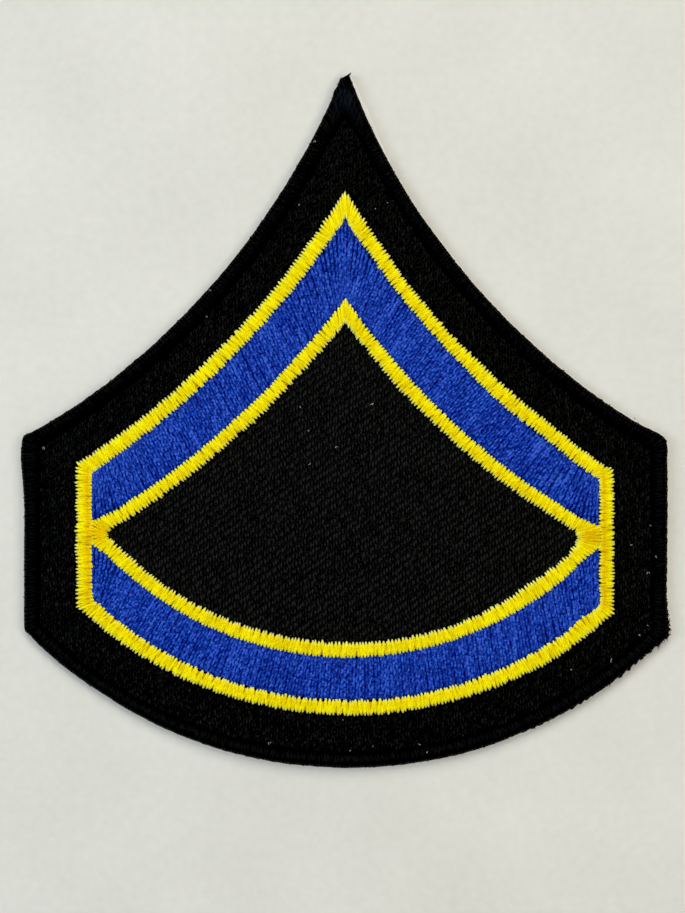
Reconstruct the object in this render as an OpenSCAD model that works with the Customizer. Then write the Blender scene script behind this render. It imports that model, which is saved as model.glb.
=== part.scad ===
// Rank chevron patch: black twill with a satin edge, a blue chevron and a blue rocker, outlined in yellow.
// The back lies on z = 0 and the face looks up. The point is at +Y, and x and y are centred on the box.
// In the plan, heights run up the page from the lowest point of the curved base.

/* [Cut cloth] */
// Width between the two straight sides
patch_w = 76.2; // [66:0.1:96]
// Height from the lowest point of the base to the point
patch_h = 82.2; // [78:0.1:98]
// Height of the shoulders, where the flanks meet the sides
shoulder_h = 39; // [35:0.1:44]
// Radius of the hollow flanks
flank_r = 84; // [60:0.1:140]
// Radius of the curved base
base_r = 53.4; // [47:0.1:70]
// Width of the blunt point
tip_w = 0.9; // [0.4:0.1:2.4]
// How much lower the right side sits than the left one, as the cloth is a little out of square
right_drop = 0.45; // [0:0.05:2]

/* [Layers] */
// Thickness of the heat-seal film on the back
film_t = 0.25; // [0.15:0.05:0.8]
// How far the film is cut to the right of the cloth
film_shift = 0.15; // [0:0.05:0.5]
// Thickness of the twill with its stiffener
cloth_t = 1; // [0.6:0.05:2.5]
// Clearance between one layer and the next
layer_gap = 0.03; // [0.01:0.01:0.1]
// Clearance between stitched areas that lie side by side
thread_gap = 0.1; // [0.04:0.01:0.3]

/* [Satin stitching] */
// Width of the band round the edge of the cloth
border_w = 1.9; // [1:0.1:3.5]
// Height of that band above the cloth
border_rise = 0.6; // [0.3:0.05:1.2]
// Width of the line round the whole figure
outline_w = 1.75; // [1:0.05:3]
// Width of the line under the chevron
chevron_line_w = 1.65; // [1:0.05:2.4]
// Width of the line over the rocker
rocker_line_w = 1.6; // [1:0.05:2.4]
// Height of the lines above the cloth
line_rise = 0.5; // [0.3:0.05:1]
// Height at which the side of a band or line starts to round over
satin_side = 0.15; // [0.05:0.01:0.25]
// Share of the width of a band or line that is flat on top
satin_flat = 0.3; // [0.1:0.05:0.6]

/* [Figure] */
// Cloth left beside the figure
side_margin = 6.4; // [4:0.1:9]
// Distance from the cloth's point down to the figure's point
point_margin = 14.2; // [9:0.1:18]
// How much lower the figure's shoulders are than the cloth's
shoulder_margin = 3.4; // [2:0.1:6]
// Cloth left under the figure
base_margin = 6.3; // [4:0.1:8]
// How much lower the figure's right side sits than its left one
figure_drop = 0.85; // [0:0.05:2]
// Width of the figure's blunt points
figure_tip_w = 0.6; // [0.2:0.1:1.2]
// Radius of the chevron's arms, at their outer edge
chevron_r = 102; // [60:0.1:160]
// Height of the chevron from its point to the point of the line under it
chevron_h = 12.75; // [9:0.05:17]
// Height of the chevron at its two ends
chevron_end_h = 7; // [5:0.1:8]
// Radius of the arms of the line under the chevron, at their upper edge
chevron_line_r = 94.5; // [60:0.1:160]
// Radius of the rocker's lower edge
rocker_r = 46.6; // [42:0.1:60]
// Height of the rocker at its middle, with both of its lines
rocker_h = 8.5; // [6:0.1:11]
// Radius of the upper edge of the line over the rocker
rocker_line_r = 37.9; // [35.5:0.1:42]
// Height of the blue thread fields above the cloth
fill_rise = 0.4; // [0.2:0.05:0.9]

/* [Hidden] */
$fn = 240;

film_colour = "#d8d6cc";
cloth_colour = "#0c0c0e";
border_colour = "#060608";
line_colour = "#f4dc0c";
fill_colour = "#2a48cc";

// How far a cutter runs past what it cuts
over = 1;

cloth_z = film_t + layer_gap;
stitch_z = cloth_z + cloth_t + layer_gap;

// Centre of the circle of radius r through two points, on the left of the way from one to the other
function arc_centre(start, end, r) =
    let (way = end - start, chord = norm(way))
    (start + end) / 2 + [-way.y, way.x] / chord * sqrt(r * r - chord * chord / 4);

// Centre of a bowl of radius r, lowest at height low, whose right end is lower than its left one by drop
function bowl_centre(width, drop, r, low) =
    let (chord = norm([width, drop]))
    [drop / chord * sqrt(r * r - chord * chord / 4), low + r];

// A shield is the shape that the cloth and the figure share: hollow arms, straight sides and a bowl
HALF = 0;
TOP = 1;
SHOULDER = 2;
ARM_R = 3;
ARM_CENTRES = 4;
BOWL_R = 5;
BOWL_CENTRE = 6;
function shield(half, top, tip, shoulder, arm_r, low, bowl_r, drop) =
    [half, top, shoulder, arm_r, arm_pair(half, top, tip, shoulder, arm_r, drop),
     bowl_r, bowl_centre(2 * half, drop, bowl_r, low)];

// Centres of a left and a right arm that run from the ends of a blunt tip down to two shoulders
function arm_pair(half, top, tip, shoulder, arm_r, drop) =
    [arc_centre([-half, shoulder + drop / 2], [-tip / 2, top], arm_r),
     arc_centre([tip / 2, top], [half, shoulder - drop / 2], arm_r)];

cloth_shape = shield(patch_w / 2, patch_h, tip_w, shoulder_h, flank_r, 0, base_r, right_drop);

figure_half = patch_w / 2 - side_margin;
figure_top = patch_h - point_margin;
figure_shoulder = shoulder_h - shoulder_margin;
figure_shape = shield(figure_half, figure_top, figure_tip_w, figure_shoulder, chevron_r,
                      base_margin, rocker_r, figure_drop);

// The line under the chevron: the centres of its two arms, whose upper edges meet the outline's inner edge
inner_half = figure_half - outline_w;
chevron_line_top = figure_top - chevron_h;
chevron_line_centres = arm_pair(inner_half, chevron_line_top, figure_tip_w,
                                figure_shoulder - chevron_end_h, chevron_line_r, figure_drop);

// The line over the rocker
rocker_line_centre = bowl_centre(2 * inner_half, figure_drop, rocker_line_r, base_margin + rocker_h);

// Draws the plan at a height, with the middle of the cloth's box on the origin
module at_height(z) {
    translate([-film_shift / 2, -patch_h / 2, z]) children();
}

module disc(centre, r) {
    translate(centre) circle(r = r);
}

// The area of a shield, drawn in by inset on all sides
module shield_area(shape, inset) {
    half = shape[HALF] - inset;
    difference() {
        intersection() {
            translate([-half, 0]) square([2 * half, shape[TOP] - inset]);
            disc(shape[BOWL_CENTRE], shape[BOWL_R] - inset);
        }
        for (centre = shape[ARM_CENTRES]) disc(centre, shape[ARM_R] + inset);
    }
}

// Cross-section of a band of satin stitches: steep low sides, round shoulders and a flat back
module satin_profile(width, rise) {
    flat = width * satin_flat;
    centre = ((width * width - flat * flat) / 4 + satin_side * satin_side - rise * rise)
             / (2 * (satin_side - rise));
    intersection() {
        translate([-width / 2, 0]) square([width, rise]);
        translate([0, centre]) circle(r = norm([width / 2, satin_side - centre]));
    }
}

// A full ring of satin from radius r outwards
module satin_ring(centre, r, width, rise) {
    translate(centre) rotate_extrude() translate([r + width / 2, 0]) satin_profile(width, rise);
}

// Something to cut with: an area that reaches past the stitches above and below
module cutter(rise) {
    translate([0, 0, -over]) linear_extrude(rise + 2 * over) children();
}

// Two satin arms that meet in a blunt point, each ended by the other one's upper edge
module satin_arms(centres, r, top, width, rise) {
    for (side = [0, 1]) intersection() {
        difference() {
            satin_ring(centres[side], r, width, rise);
            cutter(rise) disc(centres[1 - side], r);
        }
        cutter(rise) translate([-patch_w, top - patch_h]) square([2 * patch_w, patch_h]);
    }
}

// A closed band of satin just inside the edge of a shield
module satin_loop(shape, width, rise) {
    half = shape[HALF];
    intersection() {
        satin_arms(shape[ARM_CENTRES], shape[ARM_R], shape[TOP], width, rise);
        cutter(rise) translate([-half, 0]) square([2 * half, patch_h]);
    }
    for (side = [-1, 1]) difference() {
        intersection() {
            translate([side * (half - width / 2), shape[SHOULDER] + 2 * width])
                rotate([90, 0, 0]) linear_extrude(shape[SHOULDER] + 2 * width) satin_profile(width, rise);
            cutter(rise) disc(shape[BOWL_CENTRE], shape[BOWL_R]);
        }
        cutter(rise) disc(shape[ARM_CENTRES][(side + 1) / 2], shape[ARM_R]);
    }
    intersection() {
        satin_ring(shape[BOWL_CENTRE], shape[BOWL_R] - width, width, rise);
        cutter(rise) translate([-half, 0]) square([2 * half, shape[BOWL_CENTRE].y]);
    }
}

// The area inside the outline, clear of its stitches
module figure_area() {
    shield_area(figure_shape, outline_w + thread_gap);
}

// The area above an edge of the line under the chevron, with the edge moved down by shift
module above_chevron_line(shift) {
    for (centre = chevron_line_centres) disc(centre, chevron_line_r + shift);
}

module backing() {
    color(film_colour) at_height(0)
        translate([film_shift, 0]) linear_extrude(film_t) shield_area(cloth_shape, 0);
}

module ground_cloth() {
    color(cloth_colour) at_height(cloth_z) linear_extrude(cloth_t) shield_area(cloth_shape, 0);
}

module edge_border() {
    color(border_colour) at_height(stitch_z) satin_loop(cloth_shape, border_w, border_rise);
}

module outer_outline() {
    color(line_colour) at_height(stitch_z) satin_loop(figure_shape, outline_w, line_rise);
}

module chevron_outline() {
    color(line_colour) at_height(stitch_z) intersection() {
        satin_arms(chevron_line_centres, chevron_line_r, chevron_line_top, chevron_line_w, line_rise);
        cutter(line_rise) figure_area();
    }
}

module rocker_outline() {
    color(line_colour) at_height(stitch_z) intersection() {
        satin_ring(rocker_line_centre, rocker_line_r, rocker_line_w, line_rise);
        cutter(line_rise) difference() {
            figure_area();
            above_chevron_line(chevron_line_w + thread_gap);
        }
    }
}

module chevron_fill() {
    color(fill_colour) at_height(stitch_z) linear_extrude(fill_rise) intersection() {
        figure_area();
        above_chevron_line(-thread_gap);
    }
}

module rocker_fill() {
    color(fill_colour) at_height(stitch_z) linear_extrude(fill_rise) difference() {
        figure_area();
        above_chevron_line(chevron_line_w + thread_gap);
        disc(rocker_line_centre, rocker_line_r + rocker_line_w + thread_gap);
    }
}

backing();
ground_cloth();
edge_border();
outer_outline();
chevron_outline();
rocker_outline();
chevron_fill();
rocker_fill();
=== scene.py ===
"""The looks of the rank chevron patch: stitches, twill, film, light and camera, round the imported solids."""

from collections import namedtuple
import math
import bpy
import numpy as np
from numpy.linalg import norm
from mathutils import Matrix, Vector


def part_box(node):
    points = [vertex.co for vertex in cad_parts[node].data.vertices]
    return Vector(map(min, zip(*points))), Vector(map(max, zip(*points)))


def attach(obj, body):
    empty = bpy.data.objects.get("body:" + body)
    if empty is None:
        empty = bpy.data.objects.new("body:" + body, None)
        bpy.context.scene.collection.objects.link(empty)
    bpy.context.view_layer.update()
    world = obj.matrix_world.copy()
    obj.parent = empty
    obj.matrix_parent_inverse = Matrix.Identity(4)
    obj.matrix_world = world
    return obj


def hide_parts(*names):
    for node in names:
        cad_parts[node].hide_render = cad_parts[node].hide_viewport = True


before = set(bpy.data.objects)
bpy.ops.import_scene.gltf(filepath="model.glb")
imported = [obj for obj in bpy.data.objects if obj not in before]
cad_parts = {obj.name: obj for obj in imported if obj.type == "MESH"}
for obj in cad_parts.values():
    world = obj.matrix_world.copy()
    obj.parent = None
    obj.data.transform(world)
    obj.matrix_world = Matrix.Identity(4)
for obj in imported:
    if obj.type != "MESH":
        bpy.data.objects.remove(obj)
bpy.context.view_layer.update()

# The patch's plan in millimetres, as in the solids: x from the middle, h up from the base's lowest point
MM = 0.001
CUT = dict(half=38.1, top=82.2, tip=0.9, shoulder=39.0, arm_r=84.0, low=0.0, bowl_r=53.4, drop=0.45)
FIGURE = dict(half=31.7, top=68.0, tip=0.6, shoulder=35.6, arm_r=102.0, low=6.3, bowl_r=46.6, drop=0.85)
INNER_HALF = 29.95
LINE_ARMS = dict(half=INNER_HALF, top=55.25, tip=0.6, shoulder=28.6, arm_r=94.5, drop=0.85)
ROCKER_LINE = dict(width=2 * INNER_HALF, drop=0.85, r=37.9, low=14.8)
BORDER_W = 1.9
OUTLINE_W = 1.75
CHEVRON_LINE_W = 1.65
ROCKER_LINE_W = 1.6

# Levels in millimetres, read from the frame
cloth_low, cloth_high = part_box("ground_cloth")
PLAN_X = (cloth_low.x + cloth_high.x) / 2 / MM
PLAN_Y = cloth_low.y / MM
CLOTH_TOP = cloth_high.z / MM
BORDER_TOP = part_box("edge_border")[1].z / MM
LINE_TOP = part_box("outer_outline")[1].z / MM
FILL_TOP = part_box("chevron_fill")[1].z / MM
FILM_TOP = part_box("backing")[1].z / MM

# The photograph: its size, millimetres to a pixel, and the pixel that lies over the middle of the patch's box
FRAME_W, FRAME_H = 685, 913
PIXEL = 0.11832
MIDDLE_PX = (344.9, 420.5)
MIDDLE_H = CUT["top"] / 2


def from_pixel(px, py):
    """The plan point under the middle of a pixel of the photograph."""
    return np.array([(px - MIDDLE_PX[0]) * PIXEL, (MIDDLE_PX[1] - py) * PIXEL + MIDDLE_H])


def unit(v):
    return v / np.maximum(norm(v, axis=-1, keepdims=True), 1e-9)


def left_of(v):
    """Vectors in the plan, turned a quarter turn to the left."""
    return np.stack([-v[..., 1], v[..., 0]], axis=-1)


def smooth_step(low, high, value):
    t = np.clip((value - low) / (high - low), 0, 1)
    return t * t * (3 - 2 * t)


def near(points, middle, reach):
    """1 at the middle, falling away to almost nothing at twice the reach from it."""
    return np.exp(-(norm(points - middle, axis=-1) / reach) ** 2)


# Plan curves: each one is a rail, an array of points
RAIL_STEP = 0.1  # from one point of a rail to the next


def arc_centre(start, end, r):
    """Centre of the circle of radius r through two points, on the left of the way from one to the other."""
    way = np.subtract(end, start)
    chord = np.hypot(*way)
    return np.add(start, end) / 2 + left_of(way) / chord * math.sqrt(r * r - chord * chord / 4)


def bowl_centre(width, drop, r, low):
    """Centre of a bowl, lowest at height low, whose right end is lower than its left one by drop."""
    chord = math.hypot(width, drop)
    return np.array([drop / chord * math.sqrt(r * r - chord * chord / 4), low + r])


def arm_pair(half, top, tip, shoulder, arm_r, drop):
    """Centres of the two arms that run from a blunt tip down to two shoulders."""
    left = arc_centre((-half, shoulder + drop / 2), (-tip / 2, top), arm_r)
    right = arc_centre((tip / 2, top), (half, shoulder - drop / 2), arm_r)
    return left, right


def under(centre, r, x):
    """The point on the lower half of a circle at x."""
    return np.array([x, centre[1] - math.sqrt(r * r - (x - centre[0]) ** 2)])


def arc(centre, r, start, end):
    """Points of a circle from one point on it to another, the short way."""
    first, last = (math.atan2(p[1] - centre[1], p[0] - centre[0]) for p in (start, end))
    turn = (last - first + math.pi) % (2 * math.pi) - math.pi
    angle = first + turn * np.linspace(0, 1, max(2, round(abs(turn) * r / RAIL_STEP)))
    return centre + r * np.stack([np.cos(angle), np.sin(angle)], axis=1)


def lower_arc(centre, r, half):
    """The lower part of a circle, from x = -half to x = half."""
    return arc(centre, r, under(centre, r, -half), under(centre, r, half))


def distances(rail):
    """How far along a rail each of its points lies."""
    return np.concatenate([[0], np.cumsum(norm(np.diff(rail, axis=0), axis=1))])


def length(rail):
    return distances(rail)[-1]


def along(rail, s):
    """The points of a rail at the distances s."""
    far = distances(rail)
    return np.stack([np.interp(s, far, rail[:, 0]), np.interp(s, far, rail[:, 1])], axis=-1)


def nearest(rail, point):
    """How far along a rail its nearest point to another one lies."""
    return distances(rail)[np.argmin(norm(rail - point, axis=1))]


def rail_through(*pieces):
    """One rail of even steps through points and other rails."""
    whole = np.vstack([np.atleast_2d(p) for p in pieces])
    total = length(whole)
    return along(whole, np.linspace(0, total, max(2, round(total / RAIL_STEP))))


def capped(rail, top):
    """A rail with nothing higher than top."""
    return np.column_stack([rail[:, 0], np.minimum(rail[:, 1], top)])


def outward(rail):
    """Unit vectors to the left of a rail, which is outwards where it runs clockwise."""
    return left_of(unit(np.gradient(rail, axis=0)))


def swollen(rail, swells):
    """A rail moved outwards near some pixels of the photograph: (x, y, amount, reach in mm)."""
    shift = np.zeros(len(rail))
    for px, py, amount, reach in swells:
        shift += amount * near(rail, from_pixel(px, py), reach)
    return rail + outward(rail) * shift[:, None]


def arms_of(centres, r, half):
    """The left arm from its outer end to the point, and the right arm from the point to its outer end."""
    left, right = centres
    between = (right - left) / 2
    rise = math.sqrt(r * r - between @ between)
    point = (left + right) / 2 - rise * left_of(between) / np.hypot(*between)
    return arc(left, r, under(left, r, -half), point), arc(right, r, point, under(right, r, half))


class Shield:
    """Two hollow arms that meet in a point, straight sides and a bowl."""

    def __init__(self, half, top, tip, shoulder, arm_r, low, bowl_r, drop):
        self.half, self.arm_r, self.bowl_r = half, arm_r, bowl_r
        self.arms = arm_pair(half, top, tip, shoulder, arm_r, drop)
        self.bowl = bowl_centre(2 * half, drop, bowl_r, low)

    def edges(self, inset=0.0):
        """The five edges drawn in by inset, clockwise from the left shoulder."""
        half, bowl_r = self.half - inset, self.bowl_r - inset
        up, down = arms_of(self.arms, self.arm_r + inset, half)
        feet = [under(self.bowl, bowl_r, side * half) for side in (-1, 1)]
        bowl = arc(self.bowl, bowl_r, feet[1], feet[0])
        return [up, down, rail_through(down[-1], feet[1]), bowl, rail_through(feet[0], up[0])]

    def holds(self, points, inset=0.0):
        """Which points lie inside, at least inset from the edge."""
        far = [norm(points - c, axis=-1) for c in (*self.arms, self.bowl)]
        inside = (far[0] > self.arm_r + inset) & (far[1] > self.arm_r + inset)
        return inside & (far[2] < self.bowl_r - inset) & (np.abs(points[..., 0]) < self.half - inset)


cut = Shield(**CUT)
figure = Shield(**FIGURE)
line_arms = arm_pair(**LINE_ARMS)
LINE_ARM_R = LINE_ARMS["arm_r"]
rocker_centre = bowl_centre(**ROCKER_LINE)

# Where the cut edge strays from its plan: pixel, and the amount outwards and its reach in millimetres
CUT_SWELLS = [
    (660, 432, 0.3, 2.0), (668, 441, -0.25, 0.5), (669, 637, 0.08, 0.7), (590, 690, 0.12, 9.0),
    (21, 458, 0.4, 3.0), (669, 632, 0.26, 2.5), (668, 500, 0.12, 6.0), (100, 692, -0.15, 8.0),
    (460, 752, 0.08, 8.0), (26, 636, -0.12, 0.8), (280, 195, 0.16, 9.0), (190, 308, 0.15, 11.0),
    (390, 170, -0.1, 8.0), (335, 91, 0.12, 0.5)]
# The cloth's point is cut off aslant between these two pixels
TIP_LEFT, TIP_RIGHT = from_pixel(340.4, 77.0), from_pixel(350.0, 72.8)


def blunted(points):
    """Points with those above the slanting cut of the point brought down to it."""
    slope = (TIP_RIGHT[1] - TIP_LEFT[1]) / (TIP_RIGHT[0] - TIP_LEFT[0])
    ceiling = TIP_LEFT[1] + (points[:, 0] - TIP_LEFT[0]) * slope
    return capped(points, ceiling)


def cut_edges(inset):
    """The five edges of the cut cloth as it really is."""
    return [swollen(blunted(edge), CUT_SWELLS) for edge in cut.edges(inset)]


# Stitches, in millimetres. Rungs from rail to rail steer the stitches of a band
RUNG_STEP = 2.0
FAN_DENSITY = 0.85  # fewest stitches between rungs, as a share of those the longer rail would hold
PAD_SINK = 0.05  # how far the pads under the stitches reach into the cloth
SWAY = 0.03  # how far stitches bend sideways, as a standard deviation
SATIN_PLY_PITCH = 1.4  # length of one turn of a satin thread's two plies
FILL_PLY_PITCH = 2.2
WHOLE_TURN = 6.28  # in radians, near enough for a random turn


def quad_width(a, b, c, d):
    """Mean width of the strip between the rungs a-b and c-d."""
    one, other = c - b, d - a
    area = abs(one[0] * other[1] - one[1] * other[0]) / 2
    return area / ((norm(b - a) + norm(d - c)) / 2)


def part_rungs(outer, inner, fan_start, fan_end):
    """Rungs from one rail to the other: end to end at both ends, and square to the band between the fans."""
    if fan_start is None:
        return [(0.0, 0.0), (length(outer), length(inner))]
    first, last = fan_start, length(outer) - fan_end
    rungs = [(0.0, 0.0)]
    for s in np.linspace(first, last, max(2, round((last - first) / RUNG_STEP))):
        rungs.append((s, nearest(inner, along(outer, s))))
    return rungs + [(length(outer), length(inner))]


def spread(outer, inner, rungs, pitch, zigzag=True):
    """Even steps between the rungs on two rails: needle holes of a zigzag, or the ends of parallel rows."""
    outer_s, inner_s = [], []
    for (o0, i0), (o1, i1) in zip(rungs, rungs[1:]):
        width = quad_width(along(outer, o0), along(inner, i0), along(outer, o1), along(inner, i1))
        if zigzag:
            by_rails = abs(o1 - o0), abs(i1 - i0)
            width = max((sum(by_rails) / 2 + width) / 2, FAN_DENSITY * max(by_rails))
        count = max(1, round(width / pitch))
        t = (np.arange(count) + (0 if zigzag else 0.5)) / count
        outer_s.append(o0 + (o1 - o0) * t)
        inner_s.append(i0 + (i1 - i0) * (t + 0.5 / count if zigzag else t))
    return along(outer, np.concatenate(outer_s)), along(inner, np.concatenate(inner_s))


# A stretch of a satin band: its two rails, the lengths of the fans at its ends, how much painted golden shade
# its inner half has, and how uneven its needle holes are on the two sides. Without fans it has rungs only at
# its ends
Stretch = namedtuple("Stretch", "outer inner fan_start fan_end gold rough_outer rough_inner",
                     defaults=(None, None, 0.3, 0.05, 0.065))


def shaken(rng, points, amount):
    return points + rng.normal(0, 1, points.shape) * np.reshape(amount, (-1, 1))


def bent_lines(rng, starts, ends, t):
    """Points at the shares t of the ways from starts to ends, each way bent a little to one side."""
    way = ends - starts
    sway = rng.normal(0, SWAY, len(starts))[:, None] * np.sin(np.pi * t)
    return starts[:, None] + way[:, None] * t[:, None] + unit(left_of(way))[:, None] * sway[..., None]


def raised(plan, height):
    return np.concatenate([plan, height[..., None]], axis=-1)


def placed(points):
    """Points in millimetres, moved to the solids' frame in metres."""
    return (points + [PLAN_X, PLAN_Y, 0]) * MM


class Threads:
    """Collects closed tubes and pads, and makes them one mesh. Each point has a look: tone, painted light and
    tip.
    """

    def __init__(self):
        self.parts, self.total = [], 0

    def add(self, points, corners, sizes, uvs, looks):
        self.parts.append((points, corners + self.total, sizes, uvs, looks))
        self.total += len(points)

    def add_tubes(self, centres, width, thickness, around, looks, ply=0.0, ply_pitch=1.0, phase=0.0):
        """Tubes round the lines in centres (tube, station, xyz). ply makes them two twisted plies."""
        tubes, stations = centres.shape[:2]
        sides = len(around)
        ahead = unit(np.gradient(centres, axis=1))
        side = unit(np.stack([-ahead[..., 1], ahead[..., 0], np.zeros((tubes, stations))], axis=-1))
        up = np.cross(ahead, side)
        steps = norm(np.diff(centres, axis=1), axis=-1)
        run = np.concatenate([np.zeros((tubes, 1)), np.cumsum(steps, axis=1)], axis=1)
        turn = 2 * np.pi * run / ply_pitch + np.reshape(phase, (-1, 1))
        bulge = 1 + ply * np.cos(2 * (around - turn[..., None]))
        wide = np.broadcast_to(width, (tubes, stations))[..., None] / 2 * bulge * np.cos(around)
        high = np.broadcast_to(thickness, (tubes, stations))[..., None] / 2 * bulge * np.sin(around)
        sideways, upwards = side[..., None, :] * wide[..., None], up[..., None, :] * high[..., None]
        rings = centres[..., None, :] + sideways + upwards

        # Faces along the sides, and a cap at each end
        tube, station, k = np.indices((tubes, stations - 1, sides))
        here = (tube * stations + station) * sides
        beside = (k + 1) % sides
        quads = np.stack([here + k, here + beside, here + sides + beside, here + sides + k], axis=-1)
        # u runs along a tube in millimetres, ahead by its phase, and v round it
        v = np.append(around, around[0] + 2 * np.pi) / (2 * np.pi)
        lag = np.reshape(phase, (-1, 1)) / (2 * np.pi) * ply_pitch
        u = np.broadcast_to(run + lag, (tubes, stations))
        u0, u1 = u[tube, station], u[tube, station + 1]
        quad_uvs = np.stack([u0, v[k], u0, v[k + 1], u1, v[k + 1], u1, v[k]], axis=-1)
        ring = np.arange(sides)
        first = np.arange(tubes)[:, None] * stations * sides
        caps = np.stack([first + ring[::-1], first + (stations - 1) * sides + ring], axis=1)
        cap_v = np.broadcast_to(np.stack([v[ring[::-1]], v[ring]]), (tubes, 2, sides))
        cap_u = np.broadcast_to(u[:, [0, -1]][..., None], (tubes, 2, sides))
        corners = np.concatenate([quads.ravel(), caps.ravel()])
        sizes = np.concatenate([np.full(quads[..., 0].size, 4), np.full(2 * tubes, sides)])
        uvs = np.concatenate([quad_uvs.reshape(-1, 2), np.stack([cap_u, cap_v], axis=-1).reshape(-1, 2)])
        looks = np.broadcast_to(looks[..., None, :], (tubes, stations, sides, 3))
        self.add(rings.reshape(-1, 3), corners, sizes, uvs, looks.reshape(-1, 3))

    def add_pad(self, starts, ends, margin, most, top, look, closed=False):
        """A flat pad under stitches, drawn in by margin, or by most as a share of their length if less."""
        across = ends - starts
        share = np.minimum(margin / norm(across, axis=1, keepdims=True), most)
        left, right = starts + across * share, ends - across * share
        low = CLOTH_TOP - PAD_SINK
        count = len(left)
        rows = [np.column_stack([row, np.full(count, z)])
                for row, z in ((left, top), (right, top), (right, low), (left, low))]
        points = np.stack(rows, axis=1).reshape(-1, 3)
        here = np.arange(count if closed else count - 1) * 4
        after = (here + 4) % (count * 4)
        quads = [np.stack([here + k, here + (k + 1) % 4, after + (k + 1) % 4, after + k], axis=-1)
                 for k in range(4)]
        quads = np.stack(quads, axis=1).reshape(-1, 4)
        caps = np.zeros((0, 4), int) if closed else np.array([[3, 2, 1, 0], np.arange(4) + 4 * (count - 1)])
        corners = np.concatenate([quads.ravel(), caps.ravel()])
        sizes = np.full(len(quads) + len(caps), 4)
        self.add(points, corners, sizes, points[corners, :2], np.broadcast_to(look, (len(points), 3)))

    def make(self, name, material, *nodes, slot):
        points, corners, sizes, uvs, looks = (np.concatenate(rows) for rows in zip(*self.parts))
        mesh = bpy.data.meshes.new(name)
        mesh.vertices.add(len(points))
        mesh.vertices.foreach_set("co", placed(points).astype(np.float32).ravel())
        mesh.loops.add(len(corners))
        mesh.loops.foreach_set("vertex_index", corners.astype(np.int32))
        mesh.polygons.add(len(sizes))
        mesh.polygons.foreach_set("loop_start", np.concatenate([[0], np.cumsum(sizes)[:-1]]).astype(np.int32))
        mesh.polygons.foreach_set("use_smooth", np.ones(len(sizes), bool))
        uv = mesh.uv_layers.new(name="thread")
        uv.uv.foreach_set("vector", uvs.astype(np.float32).ravel())
        look = mesh.attributes.new("look", "FLOAT_VECTOR", "POINT")
        look.data.foreach_set("vector", looks.astype(np.float32).ravel())
        mesh.update(calc_edges=True)
        mesh.validate()
        place(bpy.data.objects.new(name, mesh), material, *nodes, slot=slot)


def place(piece, material, *nodes, slot):
    """Puts a piece in the scene: it rides on the body, and stands for the CAD nodes."""
    piece.data.materials.append(material)
    bpy.context.scene.collection.objects.link(piece)
    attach(piece, "root")
    if nodes:
        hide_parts(*nodes)
    return piece


# Materials
class Nodes:
    """A material's node tree, built one node at a time."""

    def __init__(self, name):
        self.material = bpy.data.materials.new(name)
        self.material.use_nodes = True
        self.tree = self.material.node_tree
        self.shader = self.tree.nodes["Principled BSDF"]

    def add(self, kind, settings=None, **inputs):
        node = self.tree.nodes.new("ShaderNode" + kind)
        for key, value in (settings or {}).items():
            setattr(node, key, value)
        for key, value in inputs.items():
            self.feed(node.inputs[int(key[1:]) if key[0] == "i" and key[1:].isdigit() else key], value)
        return node

    def feed(self, socket, value):
        if isinstance(value, bpy.types.Node):
            value = next(o for o in value.outputs if o.enabled)
        if isinstance(value, bpy.types.NodeSocket):
            self.tree.links.new(value, socket)
        else:
            socket.default_value = value

    def set(self, **values):
        """Set sockets of the shader, with spaces written as underscores."""
        for key, value in values.items():
            self.feed(self.shader.inputs[key.replace("_", " ")], value)

    def math(self, operation, a, b=0.0):
        return self.add("Math", {"operation": operation}, i0=a, i1=b)

    def total(self, *terms):
        """The sum of (value, factor) pairs."""
        result = 0.0
        for value, factor in terms:
            result = self.math("ADD", self.math("MULTIPLY", value, factor), result)
        return result

    def ramp(self, value, low, high, low_to=0.0, high_to=1.0):
        return self.add("MapRange", i0=value, i1=low, i2=high, i3=low_to, i4=high_to)

    def blend(self, share, first, second):
        """A mix of two colours or colour sockets. The Mix node has its colour sockets at 6 and 7."""
        return self.add("Mix", {"data_type": "RGBA"}, i0=share, i6=first, i7=second).outputs[2]

    def noise(self, vector, scale, detail=2.0):
        return self.add("TexNoise", Vector=vector, Scale=scale, Detail=detail).outputs["Fac"]

    def scaled(self, vector, x, y, z=1.0):
        return self.add("VectorMath", {"operation": "MULTIPLY"}, i0=vector, i1=(x, y, z))

    def bump(self, strength, distance, height):
        return self.add("Bump", Strength=strength, Distance=distance, Height=height)

    def object_place(self):
        return self.add("TexCoord").outputs["Object"]

    def looks(self):
        """The tone, painted light and tip of a thread at a point."""
        look = self.add("Attribute", {"attribute_name": "look"})
        return self.add("SeparateXYZ", i0=look.outputs["Vector"]).outputs[:]


def rgb(r, g, b):
    return (r, g, b, 1.0)


class Thread(Nodes):
    """Embroidery thread: two twisted plies of fine filaments. Its UV map runs along it and round it."""

    RELIEF = 0.00004  # depth of its bumps in metres

    def __init__(self, name, ply_pitch):
        super().__init__(name)
        uv = self.add("UVMap", {"uv_map": "thread"})
        self.along, self.around, _ = self.add("SeparateXYZ", i0=uv).outputs
        turn = self.math("SUBTRACT", self.math("MULTIPLY", self.around, 2.0),
                         self.math("MULTIPLY", self.along, 2.0 / ply_pitch))
        self.ply = self.math("COSINE", self.math("MULTIPLY", turn, 2 * math.pi))
        # Filaments: long streaks, fine round the thread
        self.filaments = self.noise(self.scaled(uv, 1.6, 34.0), 1.0, 3.0)
        self.tone, self.gold, self.tip = self.looks()

    def gloss(self, smooth, rough, level, tint):
        """Roughness from the filaments, and the strength and tint of highlights."""
        self.set(Roughness=self.ramp(self.filaments, 0.3, 0.7, smooth, rough), Specular_IOR_Level=level)
        self.set(Specular_Tint=tint)

    def relief(self, ply_depth, filament_depth, strength=0.6):
        height = self.total((self.ply, ply_depth), (self.filaments, filament_depth))
        self.set(Normal=self.bump(strength, self.RELIEF, height))


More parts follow.
